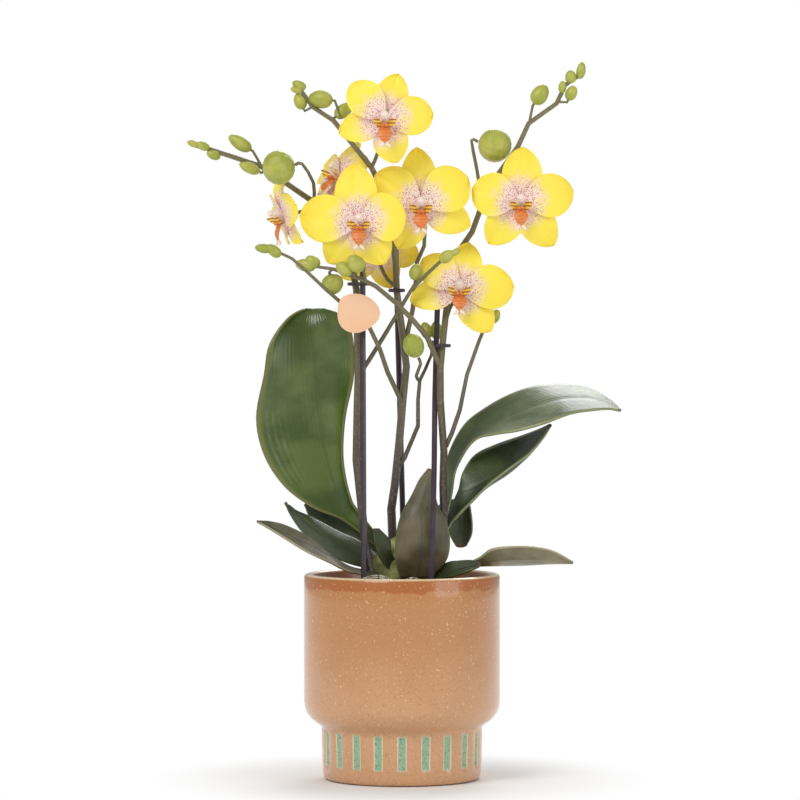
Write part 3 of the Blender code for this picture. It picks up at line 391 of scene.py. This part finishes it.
def leaf_skin(name, shade, light, edge, roughness=0.34):
    """Waxy green with fine lengthwise veins, painted shade along the midrib crease, a lighter
    margin and a brown tip.
    """
    finish = Finish(name, roughness=roughness, coat_weight=0.25, coat_roughness=0.25)
    vector = finish.place()[0]
    _, across, along, _ = finish.over_sheet()
    side = finish.maths("ABSOLUTE", across * 2 - 1)
    body = finish.mix(finish.step(finish.noise(vector, 0.05), 0.35, 0.68), shade, light)
    # Painted shade: the midrib crease is darkened towards the shade green.
    midrib_painted_shade = 1 - finish.step(side, 0.0, 0.07)
    body = finish.mix(midrib_painted_shade * 0.45, body, shade)
    margin = finish.step(side, 0.9, 0.99)
    body = finish.mix(margin * 0.8, body, edge)
    tip = finish.step(along + finish.noise(vector, 0.15) * 0.1, 0.98, 1.06)
    finish.colour(finish.mix(tip * 0.6, body, (0.16, 0.08, 0.03)))
    veins = finish.maths("SINE", across * 150)
    finish.bump(veins * 0.15 + finish.noise(vector, 0.2), 0.0005, 0.5)
    return finish.material


def plain_skin(name, shade, light, scale, roughness=0.5, depth=0.0002):
    """Two close colours in soft patches, with a fine grain."""
    finish = Finish(name, roughness=roughness)
    vector = finish.place()[0]
    finish.colour(finish.mix(finish.step(finish.noise(vector, scale), 0.38, 0.64), shade, light))
    finish.bump(finish.noise(vector, scale * 4), depth, 0.7)
    return finish.material


def stem_skin():
    """Brown-purple at the foot, olive higher up."""
    finish = Finish("stem_skin", roughness=0.42)
    vector, _, _, z = finish.place()
    rise = finish.step(z + finish.noise(vector, 0.1) * 40, 150.0, 320.0)
    body = finish.mix(rise, (0.07, 0.05, 0.045), (0.17, 0.15, 0.07))
    finish.colour(finish.mix(finish.step(finish.noise(vector, 0.7), 0.5, 0.7) * 0.4, body,
                             (0.26, 0.24, 0.16)))
    return finish.material


# ---------------------------------------------------------------- building pieces

def piece(name, bm, finishes, node, matrix=None):
    """An object from a bmesh whose points are in millimetres, standing for a node."""
    bmesh.ops.recalc_face_normals(bm, faces=bm.faces)
    bmesh.ops.scale(bm, vec=(MM, MM, MM), verts=bm.verts)
    mesh = bpy.data.meshes.new(name)
    bm.to_mesh(mesh)
    bm.free()
    mesh.shade_smooth()
    made = bpy.data.objects.new(name, mesh)
    bpy.context.scene.collection.objects.link(made)
    for finish in finishes:
        mesh.materials.append(finish)
    if matrix is not None:
        made.matrix_world = matrix
    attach(made, "root")
    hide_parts(node)
    return made


def thicken(made, thickness, levels=0):
    """Give a sheet its thickness in millimetres, and round it off by a number of levels."""
    solid = made.modifiers.new("Thickness", "SOLIDIFY")
    solid.thickness = thickness * MM
    solid.offset = 0
    if levels:
        smooth = made.modifiers.new("Smooth", "SUBSURF")
        smooth.levels = levels
        smooth.render_levels = levels


def add_egg(bm, tip, base, radius, slot=0, segments=16, rings=10, fat=0.0):
    """Egg between two points, its fattest part nearer the base when fat is above 0."""
    tip, base = Vector(tip), Vector(base)
    axis = tip - base
    turn = axis.to_track_quat("Z", "Y").to_matrix().to_4x4()
    made = bmesh.ops.create_uvsphere(bm, u_segments=segments, v_segments=rings, radius=1)
    for vert in made["verts"]:
        swell = 1 - fat * vert.co.z
        vert.co = (vert.co.x * radius * swell, vert.co.y * radius * swell,
                   vert.co.z * axis.length / 2)
    bmesh.ops.transform(bm, matrix=Matrix.Translation((tip + base) / 2) @ turn, verts=made["verts"])
    for face in {f for v in made["verts"] for f in v.link_faces}:
        face.material_index = slot
    return made["verts"]


def add_sheet(bm, surface, across, along, slot=0, uv_name=None):
    """Grid of faces over surface(u, v), with u from -1 to 1 and v from 0 to 1."""
    rows = [[bm.verts.new(surface(2 * i / across - 1, j / along)) for i in range(across + 1)]
            for j in range(along + 1)]
    layer = bm.loops.layers.uv.verify() if uv_name is None else bm.loops.layers.uv.new(uv_name)
    for j in range(along):
        for i in range(across):
            face = bm.faces.new((rows[j][i], rows[j][i + 1], rows[j + 1][i + 1], rows[j + 1][i]))
            face.material_index = slot
            for loop, (a, b) in zip(face.loops, ((0, 0), (1, 0), (1, 1), (0, 1))):
                loop[layer].uv = ((i + a) / across, (j + b) / along)


# ---------------------------------------------------------------- cover pot and bark

def make_pot():
    """Turned wall with a rounded lip, a curved shoulder and a fluted foot."""
    profile = [(0, 6.5), (36.6, 6.5), (39.6, 9.5), (39.6, 27.5), (42, 32), (50, 42), (50, 80),
               (50, 113.2), (50.5, 114.4), (51.8, 115), (53.2, 115), (54.5, 114.4), (55, 113.2),
               (55, 100), (55, 80), (55, 60), (55, 44), (54.7, 40.7), (53.6, 37.4), (51.1, 34),
               (48.8, 32.3), (46.6, 30.6), (45.4, 29.6), (45, 28.9)]
    top, bottom = Vector(FOOT_TOP), Vector(FOOT_BOTTOM)
    profile += [tuple(top.lerp(bottom, i / FOOT_STEPS)) for i in range(FOOT_STEPS + 1)]
    profile += [(44, 1.6), (43.4, 0.6), (42, 0), (0, 0)]
    sides = GROOVES * GROOVE_SIDES
    bm = bmesh.new()
    rings = []
    for radius, height in profile:
        ring = []
        for k in range(sides):
            angle = 2 * math.pi * k / sides - math.pi / 2
            wave = math.cos(GROOVES * (angle + math.pi / 2))
            foot = max(0.0, min(1.0, (height - GROOVE_BOTTOM) / 2.5, (GROOVE_TOP - height) / 2))
            dip = GROOVE_DEPTH * max(0.0, wave - GROOVE_START) / (1 - GROOVE_START)
            dip -= RIB_SWELL * max(0.0, -wave)
            on_foot = radius > 43.5 and height < 29
            carved = radius - foot * dip if on_foot else radius
            ring.append(bm.verts.new((carved * math.cos(angle), carved * math.sin(angle),
                                      height)))
        rings.append(ring)
    for lower, upper in zip(rings, rings[1:]):
        for k in range(sides):
            m = (k + 1) % sides
            bm.faces.new((lower[k], lower[m], upper[m], upper[k]))
    bmesh.ops.remove_doubles(bm, verts=bm.verts, dist=0.001)
    return piece("pot_glazed", bm, [speckled_glaze()], "ceramic_pot")


def make_bark():
    """A bed of loose chips in the top of the pot."""
    dice = random.Random(11)
    noise.seed_set(11)
    bm = bmesh.new()
    bed = bmesh.ops.create_cone(bm, cap_ends=True, segments=64, radius1=33, radius2=41,
                                depth=92)
    bmesh.ops.translate(bm, vec=(0, 0, 54), verts=bed["verts"])
    for _ in range(CHIPS):
        reach = BED_RADIUS * math.sqrt(dice.random())
        turn = dice.uniform(0, 2 * math.pi)
        height = BED_HEIGHT + BED_CROWN * (1 - (reach / BED_RADIUS) ** 2) + dice.uniform(-3, 1.5)
        centre = Vector((reach * math.cos(turn), reach * math.sin(turn), height))
        lean = Vector((dice.uniform(-1, 1), dice.uniform(-1, 1), dice.uniform(-0.4, 0.4)))
        half = lean.normalized() * dice.uniform(2.5, 5.5)
        chip = add_egg(bm, centre + half, centre - half, dice.uniform(1.6, 3.0), segments=7,
                       rings=5)
        for vert in chip:
            vert.co += Vector(noise.noise_vector(vert.co * 0.6)) * 0.9
    finish = plain_skin("bark_chips", (0.10, 0.045, 0.025), (0.34, 0.18, 0.12), 0.35, 0.85, 0.0006)
    made = piece("bark_chips", bm, [finish], "bark_mix")
    made.data.shade_flat()


# ---------------------------------------------------------------- flowers

def flower_matrix(centre, facing):
    """Flower's own axes: x to its side, y up and z out of its face."""
    out = Vector(facing).normalized()
    up = Vector((0, 0, 1))
    up = (up - out * up.dot(out)).normalized()
    side = up.cross(out)
    axes = Matrix((side, up, out)).transposed().to_4x4()
    return Matrix.Translation(Vector(centre) * MM) @ axes


def lobe_surface(lobe, lift, kind, seed):
    """A petal or sepal: cupped near the middle, bent back and a little ruffled at the edge."""
    clock, reach, half = lobe
    angle = math.radians(clock)
    along = Vector((math.sin(angle), math.cos(angle), 0))
    over = Vector((math.cos(angle), -math.sin(angle), 0))
    # Where along it the lobe is widest, its width at its foot, and how pointed its tip is
    widest, foot, point = (0.56, 0.16, 0.58) if kind == "petal" else (0.48, 0.3, 0.68)

    def surface(u, v):
        if v > widest:
            width = max(0.0, 1 - ((v - widest) / (1 - widest)) ** 2) ** point
        else:
            width = foot + (1 - foot) * math.sin(math.pi / 2 * v / widest) ** 1.15
        distance = v * reach
        ruffle = noise.noise(Vector((u * 1.4 + seed, v * 3.2, seed * 0.7))) * 3.0 * abs(u) * v
        crease = 0.5 * math.exp(-(u * 7) ** 2) * v
        cup = 1.1 * u * u * math.sin(math.pi * min(1, v * 1.15)) - crease
        arch = 1.2 * math.sin(math.pi * v)
        height = lift - PETAL_REFLEX * distance ** 2 + cup + ruffle + arch
        return along * distance + over * (u * half * width) + Vector((0, 0, height))
    return surface


def make_whorl(name, node, lobes, lift, kind, matrix, finish, seed):
    """The sepals or the petals of one flower."""
    bm = bmesh.new()
    for i, lobe in enumerate(lobes):
        add_sheet(bm, lobe_surface(lobe, lift, kind, seed + i * 3.7), 16, 22)
    made = piece(name, bm, [finish], node, matrix)
    thicken(made, PETAL_THICKNESS, 1)


def make_lip(name, node, matrix, finishes):
    """Column with its cap, two raised side lobes, a callus and a tongue with a forked tip."""
    bm = bmesh.new()
    add_egg(bm, (0, 3.2, 8.6), (0, 0.4, 0.6), 2.1, slot=2, fat=-0.2)
    add_egg(bm, (0, 3.6, 9.4), (0, 2.0, 6.6), 1.8, slot=2)
    for sign in (-1, 1):
        def side_lobe(u, v, sign=sign):
            width = 3.0 * math.sin(math.pi * min(1, v * 0.86 + 0.16)) ** 0.7
            x = sign * (1.4 + 5.2 * math.sin(v * 1.45) - 0.5 * u * u)
            return Vector((x, -3.0 + u * width * 0.8 + v * 2.5, 3.0 + 6.0 * v + u * 0.6))
        add_sheet(bm, side_lobe, 8, 10, slot=0)
        add_egg(bm, (sign * 1.0, -3.2, 7.2), (sign * 0.8, -3.6, 3.6), 1.1, slot=1)

    def tongue(u, v):
        width = 2.2 + 2.6 * math.sin(math.pi * min(1, v * 1.05)) ** 1.2 - 1.6 * v
        return Vector((u * width, -3.5 - 10.0 * v, 4.5 + 3.4 * math.sin(v * 2.2) - 0.9 * u * u))
    add_sheet(bm, tongue, 10, 14, slot=1)
    for sign in (-1, 1):
        add_egg(bm, (sign * 3.0, -15.4, 7.4), (sign * 0.3, -12.6, 6.8), 0.75, slot=2)
    made = piece(name, bm, finishes, node, matrix)
    thicken(made, LIP_THICKNESS, 1)


def make_flowers():
    """Every flower: sepals, petals over them, then the lip and column."""
    skin = petal_skin()
    lips = [lip_skin("lip_side", (0.90, 0.66, 0.10), (0.34, 0.05, 0.03), 0.85),
            lip_skin("lip_heart", (0.74, 0.24, 0.05), (0.50, 0.05, 0.05), 0.4),
            lip_skin("lip_cream", (0.92, 0.78, 0.68), (0.80, 0.45, 0.45), 0.25)]
    for i, (flower, (centre, facing, lobes)) in enumerate(FLOWERS.items()):
        stem = flower.replace("flower_", "")
        matrix = flower_matrix(centre, facing)
        make_whorl("whorl_outer_" + stem, "sepals_" + stem, lobes["sepals"], -WHORL_LIFT, "sepal",
                   matrix, skin, i * 11.3)
        make_whorl("whorl_inner_" + stem, "petals_" + stem, lobes["petals"], WHORL_LIFT, "petal",
                   matrix, skin, i * 7.9 + 2)
        make_lip("lip_and_column_" + stem, "lip_" + stem, matrix, lips)


# ---------------------------------------------------------------- leaves and stems

def make_leaves():
    """Leaf blades through their margins and midribs, each with its own green."""
    finishes = {
        "leaf_upright_left": leaf_skin("leaf_glossy", (0.05, 0.088, 0.012), (0.105, 0.155, 0.03),
                                       (0.17, 0.17, 0.04), 0.26),
        "leaf_low_left": leaf_skin("leaf_greyish", (0.10, 0.095, 0.06), (0.19, 0.175, 0.12),
                                   (0.38, 0.36, 0.2)),
        "leaf_front": leaf_skin("leaf_underside", (0.07, 0.058, 0.025), (0.17, 0.14, 0.075),
                                (0.18, 0.22, 0.07), 0.5),
        "leaf_arching_right": leaf_skin("leaf_olive", (0.05, 0.08, 0.02), (0.13, 0.16, 0.06),
                                        (0.27, 0.28, 0.13)),
        # Painted shade: the channelled leaf lies in the shadow of the arching leaf over it, so its
        # greens are darkened.
        "leaf_channelled_right": leaf_skin("leaf_in_painted_shade", (0.015, 0.024, 0.01), (0.06, 0.085, 0.03),
                                           (0.28, 0.3, 0.14)),
        "leaf_low_right": leaf_skin("leaf_dusty", (0.13, 0.12, 0.06), (0.27, 0.24, 0.13),
                                    (0.4, 0.38, 0.22)),
    }
    dark = leaf_skin("leaf_dark", (0.025, 0.04, 0.014), (0.055, 0.075, 0.028), (0.11, 0.13, 0.05))
    for name, margins in LEAVES.items():
        left, middle, right = margins

        def blade(u, v, left=left, middle=middle, right=right):
            midrib_painted_shade, edge_a, edge_b = (on_route(route, v) for route in (middle, left, right))
            point = midrib_painted_shade + u * (edge_b - edge_a) * 0.5 + u * u * ((edge_a + edge_b) * 0.5 - midrib_painted_shade)
            return point + Vector((0, 0, -0.5 * math.exp(-(u * 9) ** 2) * math.sin(math.pi * v)))
        bm = bmesh.new()
        add_sheet(bm, blade, 22, 60, uv_name="sheet")
        made = piece("blade_" + name[5:], bm, [finishes.get(name, dark)], name)
        thicken(made, LEAF_THICKNESS)


def smooth_twin(name, finish, levels=0):
    """The node's own shape, shaded smoothly."""
    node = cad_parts[name]
    made = bpy.data.objects.new("smooth_" + name, node.data.copy())
    made.matrix_world = node.matrix_world.copy()
    bpy.context.scene.collection.objects.link(made)
    made.data.materials.clear()
    made.data.materials.append(finish)
    made.data.shade_smooth()
    if levels:
        smooth = made.modifiers.new("Smooth", "SUBSURF")
        smooth.levels = levels
        smooth.render_levels = levels
    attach(made, "root")
    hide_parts(name)


def make_stems():
    """Spikes, branches and large buds, with a skin over each small bud."""
    stem = stem_skin()
    bud = plain_skin("bud_skin", (0.33, 0.37, 0.05), (0.47, 0.47, 0.09), 0.08, 0.4, 0.00005)
    for name in ("spike_left", "spike_middle", "spike_right", "branch_behind_tag",
                 "branch_left_inner", "branch_right_inner", "branch_middle_low",
                 "branch_middle_high", "branch_right_outer"):
        smooth_twin(name, stem)
    for name in ("large_bud_left", "large_bud_middle", "large_bud_right"):
        smooth_twin(name, bud)
    for i, (stem_name, tip, base, radius) in enumerate(BUDS):
        bm = bmesh.new()
        tip, base = Vector(tip), Vector(base)
        out = (tip - base).normalized() * BUD_SKIN
        add_egg(bm, tip + out, base - out, radius + BUD_SKIN, fat=0.12)
        piece("bud_%02d" % i, bm, [bud], stem_name)


def make_small_parts():
    """Stakes, clips, tag, roots, crown and the inner pot."""
    plastic = plain_skin("dark_plastic", (0.045, 0.03, 0.04), (0.06, 0.042, 0.055), 0.2, 0.32,
                         0.00002)
    for name in ("stake_left", "stake_middle", "stake_right", "clip_left", "clip_middle",
                 "clip_right"):
        smooth_twin(name, plastic)
    card = plain_skin("peach_card", (0.84, 0.50, 0.30), (0.86, 0.54, 0.34), 0.05, 0.7, 0.00001)
    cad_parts["tag"].data.materials.clear()
    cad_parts["tag"].data.materials.append(card)
    root = plain_skin("root_skin", (0.42, 0.42, 0.30), (0.72, 0.70, 0.62), 0.3, 0.7)
    for name in ("root_front", "root_right"):
        smooth_twin(name, root, 1)
    crown = plain_skin("crown_skin", (0.16, 0.18, 0.05), (0.40, 0.42, 0.16), 0.12, 0.45)
    smooth_twin("crown", crown)
    clear = plain_skin("inner_pot", (0.42, 0.42, 0.40), (0.5, 0.5, 0.48), 0.1, 0.3)
    smooth_twin("grow_pot", clear)


# ---------------------------------------------------------------- stage, light and camera

def make_stage():
    """White floor that fades into the white surround, and keeps the plant's shadow."""
    bm = bmesh.new()
    bmesh.ops.create_grid(bm, x_segments=1, y_segments=1, size=6)
    mesh = bpy.data.meshes.new("floor")
    bm.to_mesh(mesh)
    bm.free()
    floor = bpy.data.objects.new("floor", mesh)
    floor.location.z = -FLOOR_DROP
    bpy.context.scene.collection.objects.link(floor)
    finish = Finish("white_floor", roughness=0.7, base_color=(0.9, 0.9, 0.9, 1))
    finish.surface.inputs["Specular IOR Level"].default_value = 0.1
    _, x, y, _ = finish.place()
    far = finish.step(finish.maths("SQRT", x * x + y * y), 50.0, 150.0)
    glow = finish.node("ShaderNodeEmission", {}, {"Color": (1.0, 1.0, 1.0), "Strength": 1.0})
    blend = finish.node("ShaderNodeMixShader", {}, {0: far})
    finish.tree.links.new(finish.surface.outputs[0], blend.inputs[1])
    finish.tree.links.new(glow.outputs[0], blend.inputs[2])
    finish.tree.links.new(blend.outputs[0], finish.tree.nodes["Material Output"].inputs[0])
    mesh.materials.append(finish.material)


def add_light(name, place, size, power, colour=(1, 1, 1)):
    """Soft square lamp aimed at the plant's middle."""
    data = bpy.data.lights.new(name, "AREA")
    data.size = size
    data.energy = power
    data.color = colour
    light = bpy.data.objects.new(name, data)
    light.location = place
    aim = Vector((0, 0, 0.2)) - Vector(place)
    light.rotation_euler = aim.to_track_quat("-Z", "Y").to_euler()
    bpy.context.scene.collection.objects.link(light)


def make_light_and_camera():
    """White surround that lights the plant gently, three soft lamps and the camera."""
    world = bpy.data.worlds.new("surround")
    world.use_nodes = True
    tree = world.node_tree
    surround = tree.nodes["Background"]
    rays = tree.nodes.new("ShaderNodeLightPath")
    strength = tree.nodes.new("ShaderNodeMapRange")
    strength.inputs[3].default_value = 0.4
    strength.inputs[4].default_value = 1.0
    tree.links.new(rays.outputs["Is Camera Ray"], strength.inputs[0])
    tree.links.new(strength.outputs[0], surround.inputs["Strength"])
    surround.inputs["Color"].default_value = (1, 1, 1, 1)
    bpy.context.scene.world = world
    add_light("key", (-0.9, -1.3, 1.5), 0.9, 19, (1.0, 0.98, 0.95))
    add_light("fill", (1.4, -1.0, 0.7), 1.0, 7)
    add_light("rim", (0.3, 1.2, 1.1), 0.8, 9)
    lens = bpy.data.cameras.new("camera")
    lens.lens = CAMERA_LENS
    lens.sensor_width = 36
    camera = bpy.data.objects.new("camera", lens)
    camera.location = CAMERA_PLACE
    camera.rotation_euler = (math.radians(90 - CAMERA_TILT), 0, 0)
    bpy.context.scene.collection.objects.link(camera)
    bpy.context.scene.camera = camera
    bpy.context.scene.view_settings.view_transform = "Standard"
    bpy.context.scene.view_settings.look = "None"


make_pot()
make_bark()
make_flowers()
make_leaves()
make_stems()
make_small_parts()
make_stage()
make_light_and_camera()
